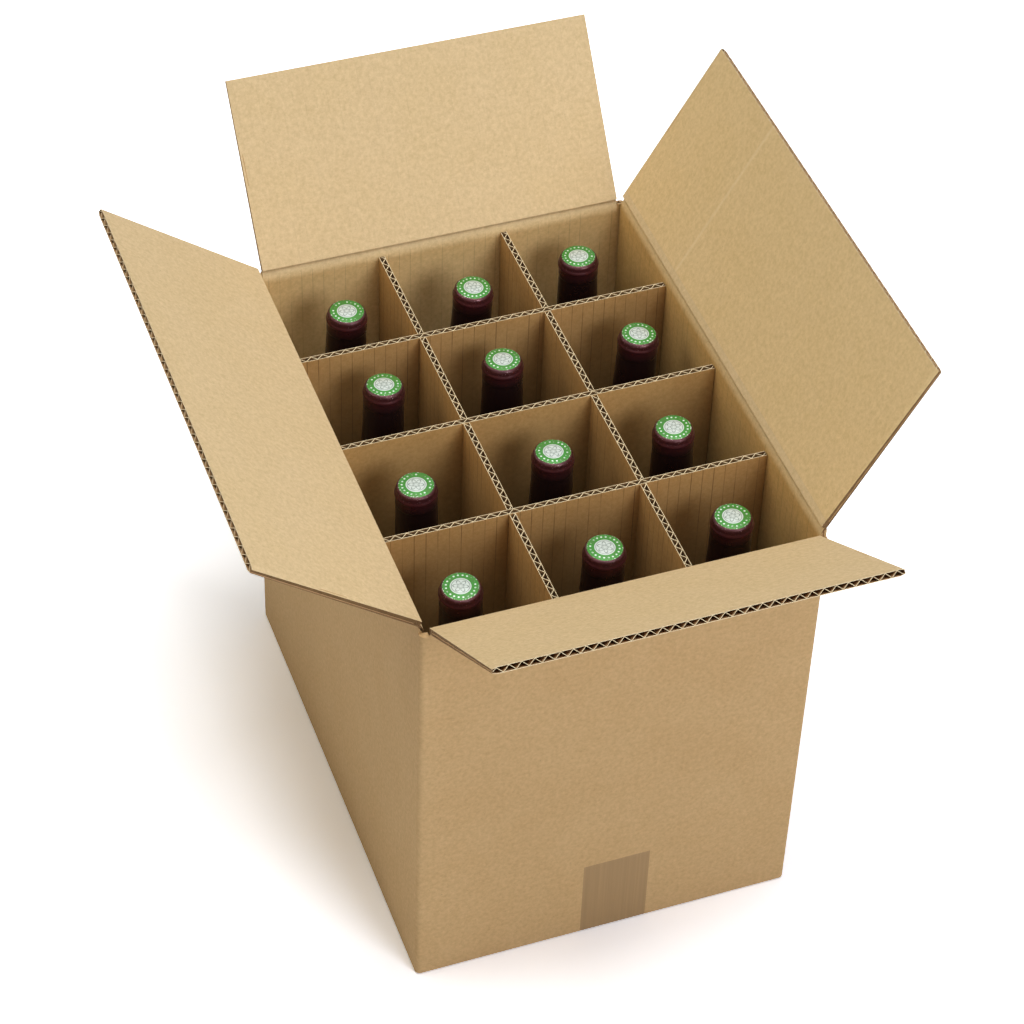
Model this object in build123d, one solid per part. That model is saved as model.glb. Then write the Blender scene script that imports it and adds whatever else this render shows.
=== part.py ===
from build123d import *
from math import atan2, cos, degrees, sin, tan
import os

# Shipping box of single-wall corrugated board, packed with twelve bottles in a grid of slotted dividers.
# Millimetres. +Z is up, -Y is the narrow front panel, and the origin is the centre of the underside.

# Corrugated board
board = 4.0             # thickness of the whole board
liner = 0.4             # each flat facing
flute_pitch = 7.4       # from one flute to the next
flute_tip = 0.8         # glue line left between two channels on a facing
flute_crown = 0.3       # fluted sheet left over the tip of a channel
edge_skin = 0.6         # least board left at the end of a row of channels

# Glass bottle
body_diameter = 73.0
glass_height = 297.4
neck_length = 75.4          # from the lip down to where the neck would meet the shoulder's slope
shoulder_rise = 15.0        # from where the body's side would meet that slope up to the neck's corner
shoulder_radius = 26.0
neck_sweep = 16.0           # hollow curve from the shoulder into the neck
neck_base_diameter = 28.6
neck_top_diameter = 24.7
heel_radius = 5.0
punt_depth = 22.0           # dome pushed up into the base
punt_diameter = 56.0
glass_wall = 3.2
bore_diameter = 18.5

# Finish of the neck, from the top down: the lip, the bead under it and a plain band
lip_height = 3.6
lip_round = 2.0
lip_inset = 0.8              # the lip's side lies this far inside the bead's
bead_slope = 1.6            # height of the bead's upper slope
bead_land = 0.9
bead_foot = 0.9             # height of its lower slope
bead_depth = 0.4             # the bead stands this far out of the band
band_height = 6.2
band_foot = 0.6
band_depth = 0.25            # and the band this far out of the neck

# Cork, foil capsule and its top disc
cork_length = 44.0
cork_sink = 0.8
cork_fit = 0.05             # all round, so that cork and glass stay two solids
cork_chamfer = 0.7
foil = 0.3
foil_fit = 0.05
skirt_rise = 19.4           # from the neck's corner up to the capsule's cut edge
disc_margin = 1.3           # from the disc's edge out to the lip's side
fold_overlap = 2.4          # the foil that is folded over the lip reaches this far under the disc
disc_thickness = 0.25

# Cells and dividers
columns = 3
rows = 4
cell_play = 7.0             # a cell is this much wider than a bottle
lean_clearance = 0.25       # least room between a leaning bottle and its cell
bottle_headroom = 3.1       # the dividers reach this far past a bottle's height
divider_end_gap = 0.5
slot_clearance = 0.5
slot_overlap = 1.0          # each slot runs this far past half height
slot_roof = 5.0             # board left whole above or below a slot

# Box
layer_gap = 0.3             # between the two layers of flaps, top and bottom
divider_headroom = 0.55     # from the dividers to the closed inner flaps
corner_radius = 3.5
foot_radius = 1.5
flap_inset = 6.0            # the flaps are narrower than their wall by this at each end
meeting_gap = 10.3          # between the two outer flaps when they are closed
slot_drop = 1.5             # the slots between flaps are cut this far below the front crease

# Hinge line of a top flap: both mitred edges stay clear of it
hinge_out = 0.15
hinge_gap = 0.1
mitre_gap = 0.4
mitre_side_gap = 0.5
crush_length = 9.0          # from the hinge line to where the flutes are whole

# How far each top flap stands open, from straight up
front_angle = 55.5
back_angle = 36.4
left_angle = 53.2
right_angle = 30.0

# Glued corner
lap_width = 35.0
lap_thickness = 0.6
lap_bevel = 12.0
lap_start = 12.0            # from the floor, and from the front crease
slit_width = 1.0
slit_skin = 0.8

# Adhesive tape
tape_width = 45.0
tape_offset = 6.5
tape_rise = 65.0
tape_thickness = 0.15

# How far a cut runs past the face that it opens
cut_margin = 1.0

# Worked out from the sizes above
neck_corner = glass_height - neck_length
shoulder_corner = neck_corner - shoulder_rise
bead_top = lip_height
bead_high = bead_top + bead_slope
bead_low = bead_high + bead_land
band_top = bead_low + bead_foot
band_low = band_top + band_height
finish_height = band_low + band_foot
band_diameter = neck_top_diameter + 2 * band_depth
bead_diameter = band_diameter + 2 * bead_depth
lip_diameter = bead_diameter - 2 * lip_inset
disc_diameter = lip_diameter - 2 * disc_margin
fold_diameter = disc_diameter - 2 * fold_overlap
skirt_end = neck_corner + skirt_rise
foil_outside = foil_fit + foil
divider_height = glass_height + bottle_headroom
cell = body_diameter + cell_play
cell_pitch = cell + board
inner_width = columns * cell + (columns - 1) * board
inner_length = rows * cell + (rows - 1) * board
outer_width = inner_width + 2 * board
outer_length = inner_length + 2 * board
floor_top = 2 * board + layer_gap
divider_top = floor_top + divider_height
front_crease = divider_top + divider_headroom + board + hinge_out
side_crease = front_crease + board + layer_gap
flap_length = (outer_width - meeting_gap) / 2 + hinge_out
front_flap_width = outer_width - 2 * flap_inset
side_flap_width = outer_length - 2 * flap_inset

# Each wall by its outward direction: turn about Z, distance from the middle, crease and flap width
walls = {
    "front": (180, outer_length / 2, front_crease, front_flap_width, front_angle),
    "back": (0, outer_length / 2, front_crease, front_flap_width, back_angle),
    "left": (90, outer_width / 2, side_crease, side_flap_width, left_angle),
    "right": (-90, outer_width / 2, side_crease, side_flap_width, right_angle),
}

# How far each bottle leans to the right and to the back, as a share of what its cell allows:
# back row first, left to right
lean_shares = [
    [(0.7, -0.45), (0.8, -0.85), (-0.4, 0.55)],
    [(0.8, 1.0), (0.0, 1.0), (1.0, 0.5)],
    [(-0.6, -0.1), (0.15, 0.25), (-0.7, -0.15)],
    [(-1.0, -1.0), (0.2, -0.3), (0.0, -0.1)],
]


# Sheets and channels

def wall_frame(name):
    """Location on a wall's outer face at the floor: X along the wall, Y outwards."""
    turn, distance = walls[name][:2]
    return Rot(0, 0, turn) * Pos(0, distance, 0)


def channels(width):
    """Cross-sections of the flute channels along a row, with the place of each."""
    half_base = (flute_pitch - flute_tip) / 2
    facing = board / 2 - liner
    steps = int((width - 2 * edge_skin - 2 * half_base) / (flute_pitch / 2))
    row = []
    for step in range(steps + 1):
        place = (step - steps / 2) * flute_pitch / 2
        side = 1 if step % 2 else -1
        base_left = (place - half_base, side * facing)
        base_right = (place + half_base, side * facing)
        tip = (place, side * (flute_crown - facing))
        row.append((place, Polygon(base_left, base_right, tip, align=None)))
    return row


def slab(x_span, y_span, z_span):
    """Plain box between the given limits."""
    size = (x_span[1] - x_span[0], y_span[1] - y_span[0], z_span[1] - z_span[0])
    return Pos(x_span[0], y_span[0], z_span[0]) * Box(*size, align=(Align.MIN, Align.MIN, Align.MIN))


# Folded box

def mitre_cut(name):
    """Everything above the slanted top of a wall, along the width of its flap."""
    crease, width = walls[name][2:4]
    edge = crease - mitre_gap
    reach = board + cut_margin
    above = side_crease + board
    section = Polygon((cut_margin, edge + cut_margin), (-reach, edge - reach), (-reach, above), (cut_margin, above),
                      align=None)
    prism = extrude(Plane.YZ * section, amount=width / 2 + mitre_side_gap, both=True)
    return wall_frame(name) * prism


def corner_cuts():
    """The slots between neighbouring top flaps."""
    x_start = front_flap_width / 2 + mitre_side_gap
    y_start = side_flap_width / 2 + mitre_side_gap
    slot = slab((x_start, outer_width), (y_start, outer_length), (front_crease - slot_drop, side_crease + board))
    slot_left = mirror(slot, about=Plane.YZ)
    return [slot, slot_left, mirror(slot, about=Plane.XZ), mirror(slot_left, about=Plane.XZ)]


def bottom_flaps():
    """Inner pair on the front and back walls, outer pair on the side walls."""
    inner_reach = outer_length / 2 - flap_length
    outer_reach = meeting_gap / 2
    front_half = front_flap_width / 2
    side_half = side_flap_width / 2
    inner = slab((-front_half, front_half), (inner_reach, inner_length / 2 + board / 2),
                 (board + layer_gap, floor_top))
    outer = slab((outer_reach, inner_width / 2 + board / 2), (-side_half, side_half), (0, board))
    return [inner, mirror(inner, about=Plane.XZ), outer, mirror(outer, about=Plane.YZ)]


def glue_lap():
    """End of the back panel, lapped round the corner on to the right-hand wall."""
    top = front_crease - lap_start
    corner = outer_length / 2 - corner_radius
    end = outer_length / 2 - lap_width
    section = Polygon((corner, lap_start), (corner, top), (end, top - lap_bevel), (end, lap_start + lap_bevel),
                      align=None)
    lap = extrude(Plane.YZ * section, amount=lap_thickness + board / 2)
    return Pos(outer_width / 2 - board / 2, 0, 0) * lap


def corner_slit():
    """Gap in the corner between the right-hand wall's cut end and the back wall."""
    back_face = inner_length / 2
    return slab((inner_width / 2 - cut_margin, outer_width / 2 - slit_skin), (back_face - slit_width, back_face),
                (floor_top, side_crease))


def folded_box():
    """Four walls and four bottom flaps of one folded and glued sheet."""
    outline = RectangleRounded(outer_width, outer_length, corner_radius) - Rectangle(inner_width, inner_length)
    box = extrude(outline, amount=side_crease)
    foot = box.faces().sort_by(Axis.Z)[0].outer_wire().edges()
    box = fillet(foot, foot_radius)
    box = box + bottom_flaps() + glue_lap()
    box = box - [mitre_cut(name) for name in walls] - corner_cuts() - corner_slit()
    return box


def tape():
    """One strip along the bottom seam and up the front and back walls."""
    half = outer_length / 2
    inner_half = half - tape_thickness
    outside = FilletPolyline((-half, tape_rise), (-half, 0), (half, 0), (half, tape_rise),
                             radius=[0, foot_radius, foot_radius, 0], close=True)
    inside = FilletPolyline((-inner_half, tape_rise), (-inner_half, tape_thickness),
                            (inner_half, tape_thickness), (inner_half, tape_rise),
                            radius=[0, foot_radius - tape_thickness, foot_radius - tape_thickness, 0], close=True)
    section = make_face(outside) - make_face(inside)
    return Pos(tape_offset, 0, 0) * extrude(Plane.YZ * section, amount=tape_width / 2, both=True)


def top_flap(name):
    """One corrugated top flap on its crease, open at the angle it is left at."""
    crease, width, angle = walls[name][2:5]
    outer_face = -hinge_out
    inner_face = -hinge_out - board
    section = Polygon((outer_face, hinge_gap), (outer_face, flap_length), (inner_face, flap_length),
                      (inner_face, hinge_gap + board), align=None)
    flap = extrude(Plane.YZ * section, amount=width / 2, both=True)
    start = Pos(0, outer_face - board / 2, crush_length)
    cuts = [start * extrude(shape, amount=flap_length) for place, shape in channels(width)]
    flap = flap - cuts
    return wall_frame(name) * Pos(0, hinge_out, crease) * Rot(-angle, 0, 0) * flap


# Dividers

def divider(length, slots, slots_open_upwards):
    """Upright corrugated sheet along X with its slots, standing on the floor flaps."""
    sheet = slab((-length / 2, length / 2), (-board / 2, board / 2), (floor_top, divider_top))
    middle = floor_top + divider_height / 2
    slot_width = board + slot_clearance
    cuts = []
    for place, shape in channels(length):
        near_slot = any(abs(place - slot) < (slot_width + flute_pitch) / 2 for slot in slots)
        low = floor_top - cut_margin
        high = divider_top + cut_margin
        if near_slot and slots_open_upwards:
            high = middle - slot_overlap - slot_roof
        if near_slot and not slots_open_upwards:
            low = middle + slot_overlap + slot_roof
        cuts.append(Pos(0, 0, low) * extrude(shape, amount=high - low))
    for slot in slots:
        low = middle - slot_overlap if slots_open_upwards else floor_top - cut_margin
        high = divider_top + cut_margin if slots_open_upwards else middle + slot_overlap
        cuts.append(slab((slot - slot_width / 2, slot + slot_width / 2), (-board, board), (low, high)))
    return sheet - cuts


def grid_places(count):
    """Places of the dividers, or of the cells, along one side of the box."""
    return [(index - (count - 1) / 2) * cell_pitch for index in range(count)]


def long_divider(place):
    """Divider along the box, slotted from the top."""
    sheet = divider(inner_length - 2 * divider_end_gap, grid_places(rows - 1), True)
    return Pos(place, 0, 0) * Rot(0, 0, 90) * sheet


def cross_divider(place):
    """Divider across the box, slotted from the bottom."""
    sheet = divider(inner_width - 2 * divider_end_gap, grid_places(columns - 1), False)
    return Pos(0, place, 0) * sheet


# Bottles

def revolved(section):
    """Round solid from a half section drawn with X as its radius."""
    return revolve(Plane.XZ * section, axis=Axis.Z)


def filleted_face(corners):
    """Closed outline through (x, y, radius) corners."""
    points = [corner[:2] for corner in corners]
    radii = [corner[2] for corner in corners]
    return make_face(FilletPolyline(*points, radius=radii, close=True))


def neck_radius(height):
    """Radius of the tapering neck at a height."""
    share = (height - neck_corner) / (glass_height - finish_height - neck_corner)
    return (neck_base_diameter + share * (neck_top_diameter - neck_base_diameter)) / 2


def finish_corners(grow):
    """Corners of the neck's finish, from the neck up to the lip, moved out by a little."""
    steps = [(neck_top_diameter, finish_height), (band_diameter, band_low), (band_diameter, band_top),
             (bead_diameter, bead_low), (bead_diameter, bead_high), (lip_diameter, bead_top)]
    corners = [(width / 2 + grow, glass_height - depth, 0) for width, depth in steps]
    return corners + [(lip_diameter / 2 + grow, glass_height + grow, lip_round + grow)]


def shoulder_bend():
    """Angle by which the outline turns in at the shoulder, in radians."""
    return atan2((body_diameter - neck_base_diameter) / 2, neck_corner - shoulder_corner)


def glass_bottle():
    """Blown bottle with a domed base, open at the neck."""
    radius = body_diameter / 2
    neck_base = neck_base_diameter / 2
    inset_drop = glass_wall * tan(shoulder_bend() / 2)
    outside = filleted_face([
        (0, 0, 0),
        (radius, 0, heel_radius),
        (radius, shoulder_corner, shoulder_radius),
        (neck_base, neck_corner, neck_sweep),
        *finish_corners(0),
        (0, glass_height, 0),
    ])
    cavity = filleted_face([
        (0, glass_wall, 0),
        (radius - glass_wall, glass_wall, heel_radius),
        (radius - glass_wall, shoulder_corner - inset_drop, shoulder_radius - glass_wall),
        (neck_base - glass_wall, neck_corner - inset_drop, neck_sweep + glass_wall),
        (bore_diameter / 2, glass_height - cork_length - cork_sink, 0),
        (bore_diameter / 2, glass_height + cut_margin, 0),
        (0, glass_height + cut_margin, 0),
    ])
    dome_radius = (punt_depth ** 2 + (punt_diameter / 2) ** 2) / (2 * punt_depth)
    dome_centre = Pos(0, punt_depth - dome_radius)
    section = outside - dome_centre * Circle(dome_radius)
    section = section - (cavity - dome_centre * Circle(dome_radius + glass_wall))
    return revolved(section)


def cork():
    """Straight cork with eased ends, just below the lip."""
    plug = Cylinder(bore_diameter / 2 - cork_fit, cork_length, align=(Align.CENTER, Align.CENTER, Align.MAX))
    plug = chamfer(plug.edges().filter_by(GeomType.CIRCLE), cork_chamfer)
    return Pos(0, 0, glass_height - cork_sink) * plug


def capsule():
    """Foil sleeve shrunk on the neck, its top edge folded over the lip."""
    outer = finish_corners(foil_outside)
    inner = finish_corners(foil_fit)
    fold = fold_diameter / 2
    section = filleted_face([
        (neck_radius(skirt_end) + foil_outside, skirt_end, 0),
        *outer,
        (fold, glass_height + foil_outside, 0),
        (fold, glass_height + foil_fit, 0),
        *reversed(inner),
        (neck_radius(skirt_end) + foil_fit, skirt_end, 0),
    ])
    return revolved(section)


def top_disc():
    """Printed disc on the folded top of the capsule."""
    disc = Cylinder(disc_diameter / 2, disc_thickness, align=(Align.CENTER, Align.CENTER, Align.MIN))
    return Pos(0, 0, glass_height + foil_outside) * disc


def bottle_stand(x, y, shares):
    """Place of a bottle that leans in its cell: heel on the floor flap, base off to the other side."""
    room = cell_play / 2 - lean_clearance
    side_height = shoulder_corner - shoulder_radius * tan(shoulder_bend() / 2)
    lean_x, lean_y = [share * 2 * room / side_height for share in shares]
    lean = (lean_x ** 2 + lean_y ** 2) ** 0.5
    rim = body_diameter / 2 - heel_radius
    lift = rim * sin(lean) + heel_radius * (1 - cos(lean))
    base = Pos(x - shares[0] * room, y - shares[1] * room, floor_top + lift)
    return base * Rot(-degrees(lean_y), degrees(lean_x), 0)


def main():
    pieces = {"bottom_tape": tape()}
    pieces["box_body"] = folded_box() - pieces["bottom_tape"]
    for name in walls:
        pieces["top_flap_" + name] = top_flap(name)
    for side, place in zip(("left", "right"), grid_places(columns - 1)):
        pieces["long_divider_" + side] = long_divider(place)
    for side, place in zip(("front", "middle", "back"), grid_places(rows - 1)):
        pieces["cross_divider_" + side] = cross_divider(place)
    bottle_pieces = {"glass_bottle": glass_bottle(), "cork": cork(), "capsule": capsule(), "capsule_disc": top_disc()}
    number = 0
    for row, y in enumerate(reversed(grid_places(rows))):
        for column, x in enumerate(grid_places(columns)):
            number += 1
            stand = bottle_stand(x, y, lean_shares[row][column])
            for kind, solid in bottle_pieces.items():
                pieces[f"{kind}_{number:02d}"] = stand * solid
    os.makedirs("parts", exist_ok=True)
    for name, solid in pieces.items():
        export_step(solid, f"parts/{name}.step")


main()
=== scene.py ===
import math
import random

import bmesh
import bpy
from mathutils import Matrix, Vector


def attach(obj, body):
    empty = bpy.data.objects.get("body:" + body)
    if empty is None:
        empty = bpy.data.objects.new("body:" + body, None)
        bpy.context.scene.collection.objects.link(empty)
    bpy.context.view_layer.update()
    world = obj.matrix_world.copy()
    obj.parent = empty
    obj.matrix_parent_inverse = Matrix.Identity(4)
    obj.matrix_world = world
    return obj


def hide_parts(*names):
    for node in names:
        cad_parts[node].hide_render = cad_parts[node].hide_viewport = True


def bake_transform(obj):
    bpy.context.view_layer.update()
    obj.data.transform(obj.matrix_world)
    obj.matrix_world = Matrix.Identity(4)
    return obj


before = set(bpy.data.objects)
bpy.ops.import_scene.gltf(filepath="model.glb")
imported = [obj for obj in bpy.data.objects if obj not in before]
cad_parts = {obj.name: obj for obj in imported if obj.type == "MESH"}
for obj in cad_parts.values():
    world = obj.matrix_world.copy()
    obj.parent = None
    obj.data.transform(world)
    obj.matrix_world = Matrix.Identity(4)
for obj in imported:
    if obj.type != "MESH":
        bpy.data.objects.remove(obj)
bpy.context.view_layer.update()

mm = 0.001
tiny = 0.01 * mm    # points nearer than this count as one place
weld = 0.001 * mm    # points nearer than this are merged
smoothAngle = math.radians(40)
print("frame loaded,", len(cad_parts), "nodes")


# Small helpers for work in edit mode

def workOn(piece):
    if bpy.context.object and bpy.context.object.mode != "OBJECT":
        bpy.ops.object.mode_set(mode="OBJECT")
    bpy.ops.object.select_all(action="DESELECT")
    piece.select_set(True)
    bpy.context.view_layer.objects.active = piece


def editMode(kind):
    bpy.ops.object.mode_set(mode="EDIT")
    bpy.ops.mesh.select_mode(type=kind)


def pick(parts, test):    # selects the verts, edges or faces that pass the test, and nothing else
    bpy.ops.mesh.select_all(action="DESELECT")
    mesh = bpy.context.object.data
    shape = bmesh.from_edit_mesh(mesh)
    for part in getattr(shape, parts):
        if test(part):
            part.select_set(True)
    shape.select_flush(True)
    bmesh.update_edit_mesh(mesh)


def settle(name, size=(1, 1, 1), place=(0, 0, 0), turn=(0, 0, 0)):    # names and places a new primitive
    piece = bpy.context.object
    piece.name = name
    piece.data.name = name
    piece.scale = size
    piece.rotation_euler = turn
    piece.location = place
    bpy.ops.object.transform_apply(location=True, rotation=True, scale=True)
    return piece


def block(name, low, high):
    bpy.ops.mesh.primitive_cube_add(size=1)
    size = [b - a for a, b in zip(low, high)]
    middle = [(a + b) / 2 for a, b in zip(low, high)]
    return settle(name, size, middle)


def apply(piece, modifier):
    workOn(piece)
    bpy.ops.object.modifier_apply(modifier=modifier.name)


def combine(piece, other, operation="DIFFERENCE"):    # uses the other piece up
    boolean = piece.modifiers.new("combine", "BOOLEAN")
    boolean.operation = operation
    boolean.solver = "EXACT"
    boolean.object = other
    apply(piece, boolean)
    bpy.data.objects.remove(other)


def join(name, pieces):
    workOn(pieces[0])
    for piece in pieces:
        piece.select_set(True)
    bpy.ops.object.join()
    joined = bpy.context.object
    joined.name = name
    joined.data.name = name
    return joined


def copyPiece(piece, name):
    twin = bpy.data.objects.new(name, piece.data.copy())
    twin.data.name = name
    bpy.context.scene.collection.objects.link(twin)
    return twin


def place(piece, matrix):    # puts the place into the mesh, so that the object stays at the origin
    piece.matrix_world = matrix
    workOn(piece)
    bpy.ops.object.transform_apply(location=True, rotation=True, scale=True)


def coat(piece, materials):
    for material in materials:
        piece.data.materials.append(material)


def recoat(nodeName, material):    # a new finish on a piece that is shown as packed
    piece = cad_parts[nodeName]
    piece.data.materials.clear()
    coat(piece, [material])


# Camera, at the photograph's angle

camera = {
    "place": (-0.54293, -1.36782, 1.64420), "turn": (0.7654, -0.2643, -0.2247),
    "lens": 112.83, "sensor": 36, "farthest": 60,
}

bpy.ops.object.camera_add(location=camera["place"])
eye = bpy.context.object
eye.name = "camera"
eye.rotation_mode = "ZYX"
eye.rotation_euler = camera["turn"]
eye.data.lens = camera["lens"]
eye.data.sensor_width = camera["sensor"]
eye.data.clip_end = camera["farthest"]
bpy.context.scene.camera = eye
print("camera set")


# Node helpers

def newMaterial(name):
    material = bpy.data.materials.new(name)
    material.use_nodes = True
    tree = material.node_tree
    return material, tree, tree.nodes["Principled BSDF"]


def node(tree, kind, settings=None, **inputs):    # an input is given by its name, or by its number as in _0
    made = tree.nodes.new(kind)
    for key, value in (settings or {}).items():
        setattr(made, key, value)
    for key, value in inputs.items():
        socket = made.inputs[int(key[1:])] if key[0] == "_" else made.inputs[key]
        if isinstance(value, bpy.types.NodeSocket):
            tree.links.new(value, socket)
        elif socket.type == "RGBA":
            socket.default_value = (*value, 1)
        else:
            socket.default_value = value
    return made


def maths(tree, operation, first, second=0.0, third=0.0):
    made = node(tree, "ShaderNodeMath", {"operation": operation}, _0=first, _1=second, _2=third)
    return made.outputs[0]


def ramp(tree, value, low, high, start=0.0, end=1.0, smooth=False):
    kind = "SMOOTHSTEP" if smooth else "LINEAR"
    made = node(tree, "ShaderNodeMapRange", {"interpolation_type": kind},
                _0=value, _1=low, _2=high, _3=start, _4=end)
    return made.outputs[0]


def blendColours(tree, share, first, second, mode="MIX"):
    settings = {"data_type": "RGBA", "blend_type": mode}
    return node(tree, "ShaderNodeMix", settings, _0=share, _6=first, _7=second).outputs[2]


def stain(tree, paint, mask, share, colour):    # puts the colour where the mask is, as strong as the share
    return blendColours(tree, maths(tree, "MULTIPLY", mask, share), paint, colour)


def objectSpot(tree):
    return node(tree, "ShaderNodeTexCoord").outputs["Object"]


def attribute(tree, name):
    return node(tree, "ShaderNodeAttribute", {"attribute_name": name}).outputs["Fac"]


mostNoise = (0.3, 0.7)    # where most values of a noise lie


def noise(tree, vector, scale, detail=3.0, roughness=0.5):
    made = node(tree, "ShaderNodeTexNoise", Vector=vector, Scale=scale, Detail=detail, Roughness=roughness)
    return made.outputs["Fac"]


def stretched(tree, vector, scale):
    return node(tree, "ShaderNodeMapping", Vector=vector, Scale=scale).outputs[0]


def bump(tree, height, strength, distance):
    return node(tree, "ShaderNodeBump", Height=height, Strength=strength, Distance=distance).outputs[0]


def finishWith(tree, shader, colour, roughness=None, normal=None):
    tree.links.new(colour, shader.inputs["Base Color"])
    if roughness is not None:
        tree.links.new(roughness, shader.inputs["Roughness"])
    if normal is not None:
        tree.links.new(normal, shader.inputs["Normal"])


# Kraft board

fluteWidth = 7.4 * mm
wallFade = (200 * mm, 310 * mm)

# Lines are the dark ones over the flutes, and fade is where they grow from weak to full. Rim is where a
# painted highlight makes the paper pale along the crease, deep is painted shade that darkens the paper
# downwards and how far, and score is a pressed line's place.
kraftLooks = {
    "kraftOutside": {"tone": (0.63, 0.42, 0.205), "shade": (0.61, 0.40, 0.19), "lines": 0.0},
    "kraftInside": {"tone": (0.70, 0.53, 0.305), "shade": (0.69, 0.52, 0.292), "lines": 0.08},
    # painted light: a brighter copy of the flaps' inner paper for the right flap, besides its real score line
    "kraftScoredPaintedLight": {
        "tone": (0.74, 0.55, 0.29), "shade": (0.73, 0.54, 0.277), "lines": 0.06, "score": 77 * mm,
    },
    # painted light: the same sheet as the flaps' inner face, tinted brighter and warmer for the golden light
    # inside the box
    "kraftWallPaintedLight": {
        "tone": (0.80, 0.565, 0.255), "shade": (0.77, 0.535, 0.235), "lines": 0.32, "fade": wallFade,
    },
    # the wall paper with a painted highlight along the crease, for the wall side of the fold strips
    "kraftEndRimHighlight": {
        "tone": (0.80, 0.57, 0.265), "shade": (0.77, 0.54, 0.245), "lines": 0.32, "fade": wallFade,
        "rim": (305.5 * mm, 312 * mm),
    },
    "kraftSideRimHighlight": {
        "tone": (0.79, 0.535, 0.22), "shade": (0.76, 0.505, 0.20), "lines": 0.32, "fade": wallFade,
        "rim": (309.8 * mm, 316.3 * mm),
    },
    # painted shade: a darker, more golden copy of the wall paper for the right wall's inner face, darkening
    # further downwards
    "kraftRightWallPaintedShade": {
        "tone": (0.79, 0.525, 0.205), "shade": (0.76, 0.495, 0.19), "lines": 0.32, "fade": wallFade,
        "deep": (225 * mm, 300 * mm, 0.44),
    },
    # deep darkens the dividers downwards as painted shade in the cells
    "kraftDivider": {
        "tone": (0.565, 0.34, 0.13), "shade": (0.525, 0.305, 0.112), "lines": 0.85,
        "fade": (170 * mm, 310 * mm), "deep": (235 * mm, 309 * mm, 0.62),
    },
    "kraftSmooth": {
        "tone": (0.60, 0.37, 0.14), "shade": (0.56, 0.335, 0.122), "lines": 0.05,
        "deep": (235 * mm, 309 * mm, 0.62),
    },
}
kraftMarks = {
    "clouds": (26.0, 4.0, 0.6), "cloudSpread": (0.35, 0.65), "grain": (360.0, 5.0, 0.75),
    # the pale crease colour is a painted highlight along the crease
    "mottle": ((0.88, 0.865, 0.82), (1.11, 1.12, 1.15)), "creaseHighlight": (0.84, 0.65, 0.37),
    "fibres": (520, 520, 1900), "fibreSpread": (0.60, 0.74),
    "fibre": (0.27, 0.165, 0.075), "fibreShare": 0.20,
    "specks": (1150.0, 1.0), "speckSpread": (0.77, 0.82), "speck": (0.16, 0.085, 0.035), "speckShare": 0.55,
    "line": (0.17, 0.085, 0.035), "lineEdge": (0.44, 0.495), "wanders": (9.0, 1.0), "wander": 0.6 * mm,
    "breaks": (140, 140, 22), "flapBreaks": (0.46, 0.62), "cellBreaks": (0.34, 0.60), "leastLine": 0.05,
    "leastFade": 0.25,
    "score": (0.86, 0.70, 0.45), "scoreShare": 0.3, "scoreEdge": (0.3 * mm, 2.0 * mm),
    "rough": (0.92, 0.78), "gloss": 0.22,
    "fluteRelief": -0.35, "grainRelief": 0.25, "lineRelief": 0.5, "scoreRelief": 1.5,
    "relief": (0.35, 0.12 * mm),
}


def fluteTurns(tree, coords, axes):    # how many flutes lie between the middle and here, a little uneven
    normal = node(tree, "ShaderNodeSeparateXYZ", Vector=coords.outputs["Normal"])
    sideways = maths(tree, "GREATER_THAN", maths(tree, "ABSOLUTE", normal.outputs[0]),
                     maths(tree, "ABSOLUTE", normal.outputs[1]))
    across = node(tree, "ShaderNodeMix", {"data_type": "FLOAT"}, _0=sideways,
                  _2=axes.outputs[0], _3=axes.outputs[1]).outputs[0]
    wander = noise(tree, coords.outputs["Object"], *kraftMarks["wanders"])
    off = ramp(tree, wander, 0.0, 1.0, -kraftMarks["wander"], kraftMarks["wander"])
    return maths(tree, "MULTIPLY", maths(tree, "ADD", across, off), 1 / fluteWidth)


def fluteLine(tree, spot, height, turns, look):    # broken here and there, and weaker down in the cells
    offLine = maths(tree, "ABSOLUTE", maths(tree, "SUBTRACT", maths(tree, "FRACT", turns), 0.5))
    line = ramp(tree, offLine, *kraftMarks["lineEdge"], 0.0, 1.0, True)
    spread = kraftMarks["cellBreaks" if "fade" in look else "flapBreaks"]
    breaks = noise(tree, stretched(tree, spot, kraftMarks["breaks"]), 1.0, 2.0)
    line = maths(tree, "MULTIPLY", line, ramp(tree, breaks, *spread, kraftMarks["leastLine"], 1.0))
    if "fade" in look:
        fade = ramp(tree, height, *look["fade"], kraftMarks["leastFade"], 1.0)
        line = maths(tree, "MULTIPLY", line, fade)
    return line


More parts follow.
